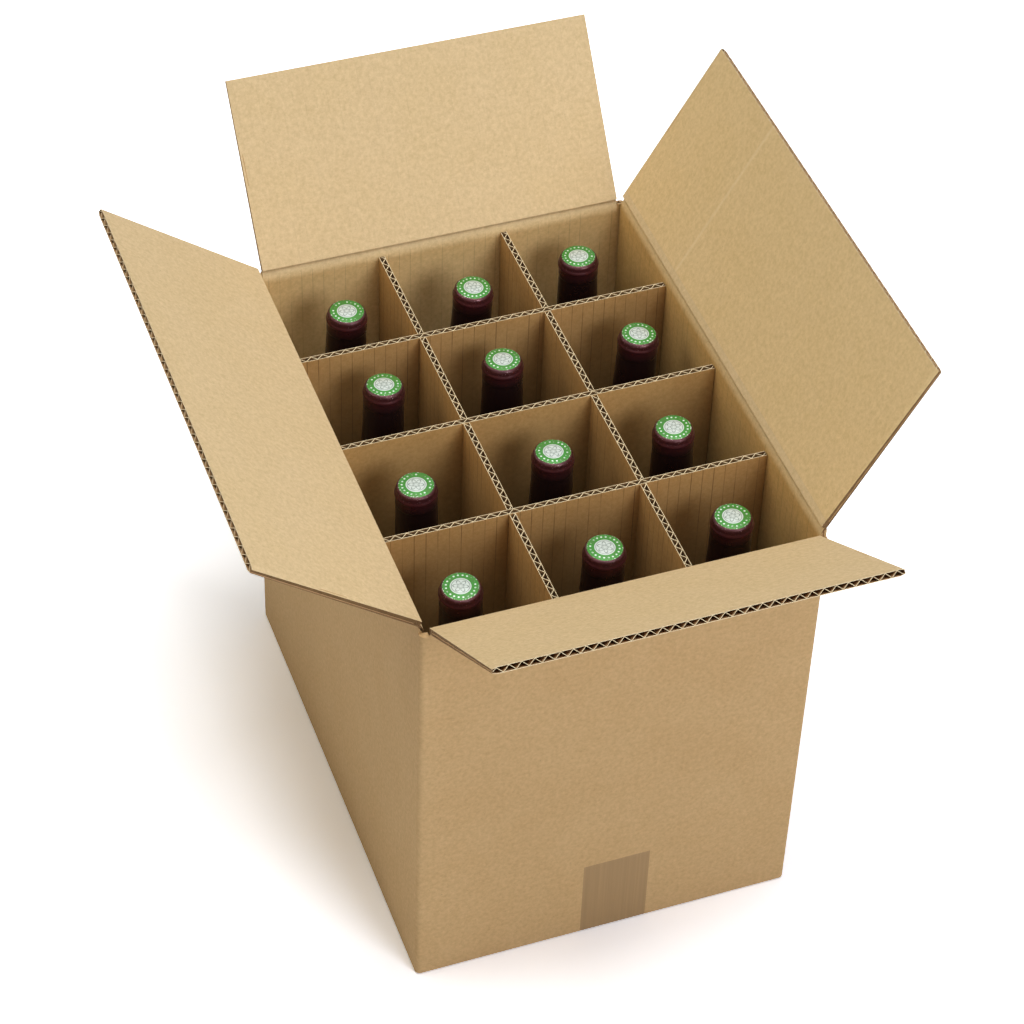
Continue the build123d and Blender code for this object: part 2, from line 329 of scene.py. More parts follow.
def kraftPaper(name, look):
    material, tree, shader = newMaterial(name)
    coords = node(tree, "ShaderNodeTexCoord")
    spot = coords.outputs["Object"]
    axes = node(tree, "ShaderNodeSeparateXYZ", Vector=spot)
    height = axes.outputs[2]
    turns = fluteTurns(tree, coords, axes)
    line = fluteLine(tree, spot, height, turns, look)

    clouds = ramp(tree, noise(tree, spot, *kraftMarks["clouds"]), *kraftMarks["cloudSpread"])
    paper = blendColours(tree, clouds, look["tone"], look["shade"])
    # painted highlight: the paper turns paler along the crease, where the light falls on its rounded top, and
    # loses its flute lines there
    if "rim" in look:
        rim = ramp(tree, height, *look["rim"])
        paper = blendColours(tree, rim, paper, kraftMarks["creaseHighlight"])
        line = maths(tree, "MULTIPLY", line, maths(tree, "SUBTRACT", 1.0, rim))
    # painted shade: the paper darkens towards the bottom of the cells
    if "deep" in look:
        low, high, least = look["deep"]
        paper = blendColours(tree, 1.0, paper, ramp(tree, height, low, high, least, 1.0), "MULTIPLY")
    grain = ramp(tree, noise(tree, spot, *kraftMarks["grain"]), *mostNoise)
    mottle = blendColours(tree, grain, *kraftMarks["mottle"])
    paper = blendColours(tree, 1.0, paper, mottle, "MULTIPLY")
    fibre = noise(tree, stretched(tree, spot, kraftMarks["fibres"]), 1.0, 3.0, 0.7)
    fibre = ramp(tree, fibre, *kraftMarks["fibreSpread"])
    paper = stain(tree, paper, fibre, kraftMarks["fibreShare"], kraftMarks["fibre"])
    speck = ramp(tree, noise(tree, spot, *kraftMarks["specks"]), *kraftMarks["speckSpread"])
    paper = stain(tree, paper, speck, kraftMarks["speckShare"], kraftMarks["speck"])
    paper = stain(tree, paper, line, look["lines"], kraftMarks["line"])
    pressedIn = 0.0
    if "score" in look:
        away = maths(tree, "ABSOLUTE", maths(tree, "SUBTRACT", axes.outputs[1], look["score"]))
        pressedIn = ramp(tree, away, *kraftMarks["scoreEdge"], 1.0, 0.0, True)
        paper = stain(tree, paper, pressedIn, kraftMarks["scoreShare"], kraftMarks["score"])

    swell = maths(tree, "COSINE", maths(tree, "MULTIPLY", turns, 2 * math.pi))
    swell = maths(tree, "MULTIPLY", swell, kraftMarks["fluteRelief"])
    relief = maths(tree, "ADD", swell, maths(tree, "MULTIPLY", grain, kraftMarks["grainRelief"]))
    relief = maths(tree, "SUBTRACT", relief, maths(tree, "MULTIPLY", line, kraftMarks["lineRelief"]))
    relief = maths(tree, "ADD", relief, maths(tree, "MULTIPLY", pressedIn, kraftMarks["scoreRelief"]))
    rough = ramp(tree, grain, 0.0, 1.0, *kraftMarks["rough"])
    finishWith(tree, shader, paper, rough, bump(tree, relief, *kraftMarks["relief"]))
    shader.inputs["Specular IOR Level"].default_value = kraftMarks["gloss"]
    return material


# Bare paper: the raw edge of a sheet, the ends that are pressed shut, and the fluted sheets, painted darker
# for the shade inside the flutes

bareLooks = {
    "cutEdge": {
        "tones": ((0.90, 0.77, 0.51), (0.72, 0.56, 0.33)), "fibres": (900.0, 3.0, 0.7),
        "spread": (0.35, 0.7), "rough": (0.85, 0.95), "relief": (0.4, 0.15 * mm),
    },
    "pressedEnd": {
        "tones": ((0.21, 0.112, 0.04), (0.15, 0.078, 0.026)), "fibres": (240.0, 3.0, 0.6),
        "spread": mostNoise, "rough": (0.85, 0.95), "relief": (0.4, 0.2 * mm),
    },
    # painted shade: the fluted sheets are the same kraft, made darker for the shade inside the flutes, and
    # darker still in the dividers
    "flutingPaintedShade": {
        "tones": ((0.56, 0.345, 0.165), (0.44, 0.265, 0.12)), "fibres": (300.0, 3.0, 0.6),
        "spread": mostNoise, "rough": (0.95, 0.85),
    },
    "dividerFlutingPaintedShade": {
        "tones": ((0.33, 0.20, 0.085), (0.24, 0.14, 0.058)), "fibres": (300.0, 3.0, 0.6),
        "spread": mostNoise, "rough": (0.95, 0.85),
    },
}


def barePaper(name, look):
    material, tree, shader = newMaterial(name)
    fibres = ramp(tree, noise(tree, objectSpot(tree), *look["fibres"]), *look["spread"])
    relief = bump(tree, fibres, *look["relief"]) if "relief" in look else None
    rough = ramp(tree, fibres, 0.0, 1.0, *look["rough"])
    finishWith(tree, shader, blendColours(tree, fibres, *look["tones"]), rough, relief)
    return material


kraft = {name: kraftPaper(name, look) for name, look in kraftLooks.items()}
bare = {name: barePaper(name, look) for name, look in bareLooks.items()}
print("board materials made")


# Corrugated sheets: two facings with the waved sheet between them

board = {
    "thickness": 4.0 * mm, "facing": 0.34 * mm, "waved": 0.34 * mm, "dividerWaved": 0.42 * mm,
    "waveSteps": 16, "waveRows": 3, "sharpness": 0.965, "phase": 0.10,
    "endDepth": 0.25 * mm, "endCuts": 24, "endWaver": ((31, 1, 0.5), (74, 2, 0.4)),
    "pinchReach": 3.2 * mm, "pinchSteps": 8, "pinch": 0.6, "pinchCurve": 1.5, "pinchBand": 0.25,
    "pinchLevels": ((0.10, 0.2), (0.35, 0.45), (0.60, 0.7), (0.85, 1.0)),
}
outerPaper, cutPaper, flutePaperPaintedShade, innerPaper, pressedPaper = range(5)    # the order of a sheet's materials


def wave(share):    # rounded zigzag from -1 to 1
    return math.asin(board["sharpness"] * math.sin(2 * math.pi * share)) / math.asin(board["sharpness"])


def facing(name, width, y0, y1, low, high, outward):
    sheet = block(name, (-width / 2, y0, low), (width / 2, y1, high))
    for face in sheet.data.polygons:
        if abs(face.normal.y) < 0.5:
            face.material_index = cutPaper
        elif face.normal.y * outward < 0:
            face.material_index = flutePaperPaintedShade
    return sheet


def wavedSheet(name, width, low, high, thick):
    steps = board["waveSteps"]
    count = round(width / fluteWidth)
    pitch = width / count
    reach = board["thickness"] / 2 - board["facing"] - thick / 2
    bpy.ops.mesh.primitive_grid_add(x_subdivisions=steps, y_subdivisions=board["waveRows"], size=1)
    left = (pitch - width) / 2
    sheet = settle(name, (pitch, high - low, 1), (left, 0, (low + high) / 2), (math.pi / 2, 0, 0))
    editMode("VERT")
    for step in range(steps + 1):
        x = left - pitch / 2 + pitch * step / steps
        pick("verts", lambda vert: abs(vert.co.x - x) < tiny)
        bpy.ops.transform.translate(value=(0, reach * wave(step / steps + board["phase"]), 0))
    bpy.ops.object.mode_set(mode="OBJECT")
    row = sheet.modifiers.new("row of flutes", "ARRAY")
    row.use_relative_offset = False
    row.use_constant_offset = True
    row.constant_offset_displace = (pitch, 0, 0)
    row.count = count
    row.use_merge_vertices = True
    row.merge_threshold = tiny
    apply(sheet, row)
    paper = sheet.modifiers.new("paper", "SOLIDIFY")
    paper.thickness = thick
    paper.offset = 0
    apply(sheet, paper)
    for face in sheet.data.polygons:
        face.material_index = cutPaper if abs(face.normal.z) > 0.5 else flutePaperPaintedShade
    return sheet


def pressedEnd(side, width, low, high, innerLow):    # the last flute's wall, pressed upright by the blade
    half = board["thickness"] / 2 - board["facing"]
    far = width / 2 - board["endDepth"]
    wall = block("pressedEnd", (far - board["waved"], -half, low), (far, half, high))
    workOn(wall)
    editMode("VERT")
    pick("verts", lambda vert: vert.co.z < low + tiny and vert.co.y < 0)
    bpy.ops.transform.translate(value=(0, 0, innerLow - low))
    bpy.ops.mesh.select_mode(type="EDGE")
    pick("edges", lambda edge: abs(edge.verts[0].co.z - edge.verts[1].co.z) > (high - low) / 2)
    bpy.ops.mesh.subdivide(number_cuts=board["endCuts"])
    bpy.ops.object.mode_set(mode="OBJECT")
    for vert in wall.data.vertices:
        level = vert.co.z / (high - low)
        swings = [share * math.sin(turns * level + lag * side) for turns, lag, share in board["endWaver"]]
        vert.co.x = side * (vert.co.x + board["endDepth"] * sum(swings))
    if side < 0:
        wall.data.flip_normals()
    for face in wall.data.polygons:
        face.material_index = pressedPaper
    return wall


def pinchEnds(sheet, width, high):    # squeezes the board thinner along its short ends, most at the tips
    workOn(sheet)
    editMode("VERT")
    for side in (-1, 1):
        bpy.ops.mesh.select_all(action="SELECT")
        start = side * (width / 2 - board["pinchReach"])
        bpy.ops.mesh.bisect(plane_co=(start, 0, 0), plane_no=(1, 0, 0))
    step = board["pinchReach"] / board["pinchSteps"]
    for number in range(board["pinchSteps"]):
        near = width / 2 - step * (number + 1) + tiny
        outwards = (1 - number / board["pinchSteps"]) ** board["pinchCurve"]
        for level, share in board["pinchLevels"]:

            def inBand(vert):
                upTo = level + board["pinchBand"]
                return near < abs(vert.co.x) <= near + step and level <= vert.co.z / high < upTo

            pick("verts", inBand)
            thin = 1 - (1 - board["pinch"]) * outwards * share
            bpy.ops.transform.resize(value=(1, thin, 1), center_override=(0, 0, 0))
    bpy.ops.object.mode_set(mode="OBJECT")


# An upright board with its outer face towards +Y, centred on the X axis. Lows says where each layer starts,
# slots are blocks cut out of it, and thick is the waved sheet's thickness.
def corrugated(name, width, high, lows, materials, slots=(), thick=board["waved"]):
    half = board["thickness"] / 2
    thin = board["facing"]
    layers = [
        facing("outerFacing", width, half - thin, half, lows["outer"], high, 1),
        facing("innerFacing", width, -half, thin - half, lows["inner"], high, -1),
        wavedSheet("waved", width, lows["waved"], high, thick),
        pressedEnd(-1, width, lows["end"], high, lows["waved"]),
        pressedEnd(1, width, lows["end"], high, lows["waved"]),
    ]
    for layer in layers:
        coat(layer, materials)
    for slotLow, slotHigh in slots:
        for layer in layers:
            cutter = block("slot", slotLow, slotHigh)
            coat(cutter, materials)
            for face in cutter.data.polygons:
                face.material_index = cutPaper
            combine(layer, cutter)
    return join(name, layers)


# Top flaps, each on its crease. The left one is cut a little closer to the front corner than the others.

box = {"width": 256 * mm, "length": 340 * mm, "endCrease": 313.5 * mm, "sideCrease": 317.8 * mm}
flap = {"length": 123 * mm, "hingeOut": 0.15 * mm, "hingeGap": 0.45 * mm, "endStart": 0.8 * mm}
endFlap = {
    "out": box["length"] / 2, "crease": box["endCrease"], "width": 244 * mm, "slide": 0.0,
    "inside": "kraftInside", "rim": "kraftEndRimHighlight",
}
sideFlap = {
    "out": box["width"] / 2, "crease": box["sideCrease"], "width": 328 * mm, "slide": 0.0,
    "inside": "kraftInside", "rim": "kraftSideRimHighlight",
}
flaps = {
    "front": {**endFlap, "turn": 180, "open": 55.5},
    "back": {**endFlap, "turn": 0, "open": 36.4},
    "left": {**sideFlap, "turn": 90, "open": 53.2, "width": 329.8 * mm, "slide": -0.9 * mm},
    "right": {**sideFlap, "turn": -90, "open": 30.0, "inside": "kraftScoredPaintedLight"},
}
fold = {
    "steps": 60, "rowAngle": 1.0, "points": 10, "core": 0.3 * mm, "outer": 15 * mm,
    "proud": 0.03 * mm, "sag": 2.2, "lip": 1.5, "bend": 0.7,
    "wallReach": 8.5 * mm, "wallRecess": 2.2 * mm, "flapReach": 5 * mm,
    "waveStart": 4.5 * mm, "blendReach": 4.5 * mm,
}


def hingeMatrix(side, tilt=0.0):
    wall = flaps[side]
    turned = Matrix.Rotation(math.radians(wall["turn"]), 4, "Z")
    out = Matrix.Translation((wall["slide"], wall["out"] + flap["hingeOut"], wall["crease"]))
    return turned @ out @ Matrix.Rotation(-math.radians(tilt), 4, "X")


def makeFlap(side):
    wall = flaps[side]
    upright = hingeMatrix(side)
    opened = hingeMatrix(side, wall["open"])
    materials = [
        kraft["kraftOutside"], bare["cutEdge"], bare["flutingPaintedShade"], kraft[wall["inside"]], bare["pressedEnd"],
    ]
    lows = {
        "outer": flap["hingeGap"], "inner": fold["flapReach"],
        "waved": fold["waveStart"], "end": flap["endStart"],
    }
    sheet = corrugated(side + "FlapBoard", wall["width"], flap["length"], lows, materials)
    pinchEnds(sheet, wall["width"], flap["length"])
    place(sheet, opened @ Matrix.Translation((0, -flap["hingeOut"] - board["thickness"] / 2, 0)))
    inwards = opened.to_3x3() @ Vector((0, -1, 0))
    along = upright.to_3x3() @ Vector((1, 0, 0))
    for face in sheet.data.polygons:
        if face.material_index == outerPaper and face.normal.dot(inwards) > 0.5:
            face.material_index = innerPaper
        elif face.material_index == cutPaper and abs(face.normal.dot(along)) > 0.7:
            face.material_index = pressedPaper
    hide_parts("top_flap_" + side)
    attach(sheet, side + "_flap")


for side in flaps:
    makeFlap(side)
print("top flaps made")


# The crease: a strip of crushed board between the wall and the flap, which closes up as the flap shuts

def foldOutline(tilt):    # angle about the hinge and radius of the inner face, from the wall up to the flap
    points = []
    full = board["thickness"] + flap["hingeOut"] + fold["proud"]
    for step in range(fold["points"], -1, -1):
        share = step / fold["points"]
        along = fold["wallReach"] * share
        deep = full - fold["wallRecess"] * (1 - share) ** fold["sag"]
        points.append((180 + math.degrees(math.atan2(along, deep)), math.hypot(along, deep)))
    crushed = full - fold["wallRecess"]
    points.append((180 - tilt + fold["lip"], crushed * math.cos(math.radians(fold["bend"] * tilt))))
    for step in range(fold["points"] + 1):
        along = fold["flapReach"] * step / fold["points"]
        points.append((180 - tilt - math.degrees(math.atan2(along, full)), math.hypot(along, full)))
    return points


def foldRadius(angle, outline):
    for (high, far), (low, near) in zip(outline, outline[1:]):
        if low <= angle <= high:
            return far + (near - far) * (high - angle) / (high - low)
    return outline[0][1] if angle > outline[0][0] else outline[-1][1]


def angleOf(y, z):    # about the hinge, from 0 to 360 degrees
    return math.degrees(math.atan2(z, y)) % 360


def makeFold(side):
    wall = flaps[side]
    outline = foldOutline(wall["open"])
    start, end = outline[0][0], outline[-1][0]
    core, outer = fold["core"], fold["outer"]
    radial = math.radians(start)
    middle = (outer + core) / 2
    bpy.ops.mesh.primitive_plane_add(size=1)
    strip = settle(side + "Fold", (wall["width"], outer - core, 1),
                   (0, middle * math.cos(radial), middle * math.sin(radial)), (radial, 0, 0))
    editMode("VERT")
    bpy.ops.mesh.select_all(action="SELECT")
    sweep = math.radians(start - end)
    bpy.ops.mesh.spin(steps=fold["steps"], angle=sweep, center=(0, 0, 0), axis=(1, 0, 0))
    for step in range(fold["steps"] + 1):
        angle = start + (end - start) * step / fold["steps"]

        def onRow(vert):
            away = abs((angleOf(vert.co.y, vert.co.z) - angle + 180) % 360 - 180)
            return away < fold["rowAngle"] and math.hypot(vert.co.y, vert.co.z) > core + tiny

        pick("verts", onRow)
        scale = foldRadius(angle, outline) / outer
        bpy.ops.transform.resize(value=(1, scale, scale), center_override=(0, 0, 0))
    bpy.ops.mesh.select_all(action="SELECT")
    bpy.ops.mesh.remove_doubles(threshold=weld)
    bpy.ops.mesh.normals_make_consistent(inside=False)
    bpy.ops.object.mode_set(mode="OBJECT")
    coat(strip, [kraft["kraftInside"], kraft[wall["rim"]], bare["pressedEnd"]])
    flapPaper, wallPaper, endPaper = range(3)
    for face in strip.data.polygons:
        onWall = angleOf(face.center.y, face.center.z) > 180
        face.material_index = wallPaper if onWall else flapPaper
        if abs(face.normal.x) > 0.5:
            face.material_index = endPaper
    upright = hingeMatrix(side)
    place(strip, upright)
    bpy.ops.object.shade_smooth_by_angle(angle=smoothAngle)
    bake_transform(strip)


for side in flaps:
    makeFold(side)
print("folds made")


# Box body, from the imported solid

# Flutes show open at three of its corners, and at the stub the left wall goes on under its wider flap.
boxBoard = {
    "flatAngle": math.radians(0.5), "spare": 0.5 * mm,
    "holeTop": 312 * mm, "holeDepth": 20 * mm, "holeRadius": 1.75 * mm,
    "holeCorners": ((-1, 1), (1, 1), (1, -1)), "holes": ((124.0 * mm, 168.1 * mm), (126.1 * mm, 165.5 * mm)),
    "stubLow": (-128 * mm, -165.8 * mm, 311 * mm), "stubHigh": (-124 * mm, -163.5 * mm, 316.2 * mm),
    "chamferDepth": 6 * mm, "chamferHeight": 12 * mm, "chamferFoot": 0.3 * mm,
}
outsideBoard, insideBoard, openFlutePaintedShade, rightBoardPaintedShade = range(4)    # the order of its materials


def sortFaces(body):    # tells the walls' inner faces from all the rest
    insideX = box["width"] / 2 - board["thickness"] + boxBoard["spare"]
    insideY = box["length"] / 2 - board["thickness"] + boxBoard["spare"]
    for face in body.data.polygons:
        x, y = face.center.x, face.center.y
        within = abs(x) < insideX and abs(y) < insideY
        inward = face.normal.x * x + face.normal.y * y < 0
        face.material_index = outsideBoard
        if within and inward and abs(face.normal.z) < 0.5:
            # the right wall's inner face takes the painted-shade copy of the wall paper
            face.material_index = rightBoardPaintedShade if face.normal.x < -0.9 else insideBoard


def openFlutes(body):
    for sideX, sideY in boxBoard["holeCorners"]:
        for x, y in boxBoard["holes"]:
            bpy.ops.mesh.primitive_cylinder_add(
                vertices=3, radius=boxBoard["holeRadius"], depth=boxBoard["holeDepth"])
            hole = settle("fluteEnd", place=(sideX * x, sideY * y, boxBoard["holeTop"]))
            coat(hole, body.data.materials)
            for face in hole.data.polygons:
                face.material_index = openFlutePaintedShade
            combine(body, hole)


def makeRoom(body, side):    # for the crushed strip along the crease
    wall = flaps[side]
    rise = fold["wallReach"] - boxBoard["chamferFoot"]
    slope = math.atan2(fold["wallRecess"] + boxBoard["spare"], rise)
    half = wall["width"] / 2
    chamfer = block("chamfer", (-half, -boxBoard["chamferDepth"], 0), (half, 0, boxBoard["chamferHeight"]))
    coat(chamfer, body.data.materials)
    for face in chamfer.data.polygons:
        face.material_index = insideBoard
    foot = Matrix.Translation((0, -flap["hingeOut"] - board["thickness"], -rise))
    place(chamfer, hingeMatrix(side) @ foot @ Matrix.Rotation(-slope, 4, "X"))
    combine(body, chamfer)


def makeBody():
    body = copyPiece(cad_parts["box_body"], "boxBoard")
    workOn(body)
    editMode("VERT")
    bpy.ops.mesh.select_all(action="SELECT")
    bpy.ops.mesh.remove_doubles(threshold=weld)
    bpy.ops.mesh.dissolve_limited(angle_limit=boxBoard["flatAngle"])
    bpy.ops.object.mode_set(mode="OBJECT")
    body.data.materials.clear()
    coat(body, [kraft["kraftOutside"], kraft["kraftWallPaintedLight"], bare["flutingPaintedShade"], kraft["kraftRightWallPaintedShade"]])
    sortFaces(body)
    openFlutes(body)
    stub = block("stub", boxBoard["stubLow"], boxBoard["stubHigh"])
    coat(stub, body.data.materials)
    combine(body, stub, "UNION")
    for side in flaps:
        makeRoom(body, side)
    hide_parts("box_body")
    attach(body, "box")


makeBody()
print("box body made")


# Dividers, slotted half way up into each other

cells = {"pitch": 84 * mm, "columns": 3, "rows": 4}
divider = {
    "floor": 8.3 * mm, "top": 308.8 * mm, "slotWidth": 4.5 * mm, "slotDepth": 8 * mm, "overlap": 1.0 * mm,
    "crossWidth": 247 * mm, "longWidth": 331 * mm,
}
longSide = {"left": -0.5, "right": 0.5}    # places in cells from the middle
crossSide = {"front": -1, "middle": 0, "back": 1}


def slotBlock(x, fromTop):
    middle = (divider["floor"] + divider["top"]) / 2
    low, high = middle - divider["overlap"], divider["top"] + mm
    if not fromTop:
        low, high = divider["floor"] - mm, middle + divider["overlap"]
    halfWidth, halfDepth = divider["slotWidth"] / 2, divider["slotDepth"] / 2
    return (x - halfWidth, -halfDepth, low), (x + halfWidth, halfDepth, high)


def makeDivider(name, width, slotPlaces, fromTop, matrix, frontPaper="kraftDivider"):
    slots = [slotBlock(x, fromTop) for x in slotPlaces]
    materials = [
        kraft["kraftDivider"], bare["cutEdge"], bare["dividerFlutingPaintedShade"], kraft[frontPaper], bare["pressedEnd"],
    ]
    lows = dict.fromkeys(("outer", "end", "waved", "inner"), divider["floor"])
    sheet = corrugated(name + "Board", width, divider["top"], lows, materials, slots, board["dividerWaved"])
    place(sheet, matrix)
    for face in sheet.data.polygons:
        frontOrRight = face.normal.x - face.normal.y > 0.5
        if face.material_index == outerPaper and frontOrRight:
            face.material_index = innerPaper
    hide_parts(name)
    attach(sheet, "box")


for side, share in crossSide.items():
    matrix = Matrix.Translation((0, share * cells["pitch"], 0))
    frontPaper = "kraftSmooth" if side == "middle" else "kraftDivider"
    slotPlaces = (-cells["pitch"] / 2, cells["pitch"] / 2)
    makeDivider("cross_divider_" + side, divider["crossWidth"], slotPlaces, False, matrix, frontPaper)
for side, share in longSide.items():
    matrix = Matrix.Translation((share * cells["pitch"], 0, 0)) @ Matrix.Rotation(math.pi / 2, 4, "Z")
    slotPlaces = (-cells["pitch"], 0, cells["pitch"])
    makeDivider("long_divider_" + side, divider["longWidth"], slotPlaces, True, matrix)
print("dividers made")


# Bottles: how each leans to the right and to the back, as a share of what its cell allows

leans = [
    [(0.7, -0.45), (0.8, -0.85), (-0.4, 0.55)],
    [(0.8, 1.0), (0.0, 1.0), (1.0, 0.5)],
    [(-0.6, -0.1), (0.15, 0.25), (-0.7, -0.15)],
    [(-1.0, -1.0), (0.2, -0.3), (0.0, -0.1)],
]
bottle = {
    "height": 297.4 * mm, "room": 3.25 * mm, "sideHeight": 193.19 * mm, "rim": 31.5 * mm, "heel": 5 * mm,
    "glass": ((0.010, 0.016, 0.008), (0.018, 0.024, 0.010)), "clouds": (14.0, 2.0), "smears": (60.0, 2.0),
    "rough": (0.06, 0.14),
}
cork = {
    "bark": ((0.60, 0.40, 0.22), (0.30, 0.17, 0.08)), "grain": (700.0, 4.0, 0.7), "spread": (0.35, 0.65),
    "rough": 0.8, "relief": (0.5, 0.3 * mm),
}


def bottleStand(row, column):
    x = (column - (cells["columns"] - 1) / 2) * cells["pitch"]
    y = ((cells["rows"] - 1) / 2 - row) * cells["pitch"]
    shareX, shareY = leans[row][column]
    leanX = shareX * 2 * bottle["room"] / bottle["sideHeight"]
    leanY = shareY * 2 * bottle["room"] / bottle["sideHeight"]
    lean = math.hypot(leanX, leanY)
    lift = bottle["rim"] * math.sin(lean) + bottle["heel"] * (1 - math.cos(lean))
    foot = (x - shareX * bottle["room"], y - shareY * bottle["room"], divider["floor"] + lift)
    return Matrix.Translation(foot) @ Matrix.Rotation(-leanY, 4, "X") @ Matrix.Rotation(leanX, 4, "Y")


def darkGlass():
    material, tree, shader = newMaterial("darkGlass")
    spot = objectSpot(tree)
    clouds = ramp(tree, noise(tree, spot, *bottle["clouds"]), *mostNoise)
    smears = ramp(tree, noise(tree, spot, *bottle["smears"]), *mostNoise, *bottle["rough"])
    finishWith(tree, shader, blendColours(tree, clouds, *bottle["glass"]), smears)
    return material


def corkBark():
    material, tree, shader = newMaterial("corkBark")
    grain = ramp(tree, noise(tree, objectSpot(tree), *cork["grain"]), *cork["spread"])
    relief = bump(tree, grain, *cork["relief"])
    finishWith(tree, shader, blendColours(tree, grain, *cork["bark"]), normal=relief)
    shader.inputs["Roughness"].default_value = cork["rough"]
    return material


# Capsules

# From the cut edge up: depth below the top and radius, in millimetres, and how strongly the foil is crimped
capsuleOutline = [
    (56.0, 13.87, 0), (52.0, 13.80, 0), (40.0, 13.42, 0), (27.0, 13.05, 0), (15.0, 12.74, 0),
    (14.0, 12.72, 0), (13.6, 12.84, 0), (13.2, 12.98, 0), (12.6, 12.99, 0), (9.5, 12.99, 0),
    (7.2, 13.0, 0), (6.7, 13.12, 0), (6.1, 13.35, 0), (5.65, 13.38, 0), (5.2, 13.34, 0),
    (4.7, 13.12, 0.2), (4.1, 12.80, 0.5), (3.6, 12.60, 0.8), (2.9, 12.52, 1), (2.3, 12.44, 1),
    (1.7, 12.30, 1), (1.2, 12.08, 1), (0.75, 11.78, 1), (0.4, 11.42, 0.8), (0.15, 11.05, 0.3),
    (0.02, 10.7, 0), (0.0, 8.5, 0),
]
capsule = {
    "segments": 112, "overGlass": 0.35 * mm, "foil": 0.22 * mm,
    "crinkle": 0.30 * mm, "crinkleSize": 1.5 * mm, "crinkleMiddle": 0.55,
    "red": ((0.085, 0.019, 0.024), (0.055, 0.013, 0.017)), "sheen": (90.0, 3.0),
    "rough": (0.26, 0.36), "metal": 0.45,
    # sleeve is the colour of the painted shade on the foil below the bead, which sets in between the two
    # depths, counted in depth units
    "sleeve": (0.022, 0.010, 0.012), "paintedShadeDepth": (0.6, 1.4), "depthUnit": 10 * mm,
    "glints": (1500.0, 2.0, 0.6), "glintSpread": (0.66, 0.76), "glint": (0.62, 0.42, 0.44),
    "creases": (650.0, 3.0, 0.6), "relief": (0.6, 0.25 * mm),
}


def capsuleFoil():
    material, tree, shader = newMaterial("burgundyFoil")
    spot = objectSpot(tree)
    crimp = attribute(tree, "crimp")
    sheen = ramp(tree, noise(tree, spot, *capsule["sheen"]), *mostNoise)
    red = blendColours(tree, sheen, *capsule["red"])
    # painted shade: the foil turns near black below the bead, where its upright sides reflect the dark cells
    clearOfPaintedShade = ramp(tree, attribute(tree, "depth"), *capsule["paintedShadeDepth"], 1.0, 0.0, True)
    red = blendColours(tree, clearOfPaintedShade, capsule["sleeve"], red)
    glint = ramp(tree, noise(tree, spot, *capsule["glints"]), *capsule["glintSpread"])
    glint = maths(tree, "MULTIPLY", glint, crimp)
    red = blendColours(tree, glint, red, capsule["glint"])
    creases = maths(tree, "MULTIPLY", noise(tree, spot, *capsule["creases"]), crimp)
    rough = ramp(tree, sheen, 0.0, 1.0, *capsule["rough"])
    finishWith(tree, shader, red, rough, bump(tree, creases, *capsule["relief"]))
    shader.inputs["Metallic"].default_value = capsule["metal"]
    return material


def markSleeve(sleeve, top):    # how crimped and how far down each point is, for the crinkle, the glints and the painted shade lower down
    crimped = sleeve.vertex_groups.new(name="crimped")
    shares = []
    for vert in sleeve.data.vertices:
        here = min(capsuleOutline, key=lambda point: abs(top - point[0] * mm - vert.co.z) +
                   abs(point[1] * mm - math.hypot(vert.co.x, vert.co.y)))
        shares.append(here[2])
        crimped.add([vert.index], here[2], "REPLACE")
    mark = sleeve.data.attributes.new("crimp", "FLOAT", "POINT")
    mark.data.foreach_set("value", shares)
    depths = [(top - vert.co.z) / capsule["depthUnit"] for vert in sleeve.data.vertices]
    mark = sleeve.data.attributes.new("depth", "FLOAT", "POINT")
    mark.data.foreach_set("value", depths)


def makeCapsule():
    top = bottle["height"] + capsule["overGlass"]
    depth, radius, crimp = capsuleOutline[0]
    bpy.ops.mesh.primitive_circle_add(vertices=capsule["segments"], radius=radius * mm)
    sleeve = settle("capsuleModel", place=(0, 0, top - depth * mm))
    editMode("VERT")
    bpy.ops.mesh.select_all(action="SELECT")
    for lower, upper in zip(capsuleOutline, capsuleOutline[1:]):
        bpy.ops.mesh.extrude_region_move(TRANSFORM_OT_translate={"value": (0, 0, (lower[0] - upper[0]) * mm)})
        share = upper[1] / lower[1]
        bpy.ops.transform.resize(value=(share, share, 1), center_override=(0, 0, top))
    bpy.ops.object.mode_set(mode="OBJECT")
    markSleeve(sleeve, top)
    grain = bpy.data.textures.new("crinkle", "CLOUDS")
    grain.noise_scale = capsule["crinkleSize"]
    grain.noise_depth = 1
    crinkle = sleeve.modifiers.new("crinkle", "DISPLACE")
    crinkle.texture = grain
    crinkle.texture_coords = "LOCAL"
    crinkle.strength = capsule["crinkle"]
    crinkle.mid_level = capsule["crinkleMiddle"]
    crinkle.vertex_group = "crimped"
    apply(sleeve, crinkle)
    editMode("VERT")
    bpy.ops.mesh.select_all(action="SELECT")
    bpy.ops.mesh.normals_make_consistent(inside=False)
    bpy.ops.object.mode_set(mode="OBJECT")
    lowest = min(sleeve.data.polygons, key=lambda face: face.center.z)
    if lowest.normal.dot(Vector((lowest.center.x, lowest.center.y, 0))) < 0:
        sleeve.data.flip_normals()
    foil = sleeve.modifiers.new("foil", "SOLIDIFY")
    foil.thickness = capsule["foil"]
    foil.offset = -1
    apply(sleeve, foil)
    bpy.ops.object.shade_smooth()
    return sleeve


# Printed disc: a green ring with a row of pale beads and a silver roundel with a plain rosette

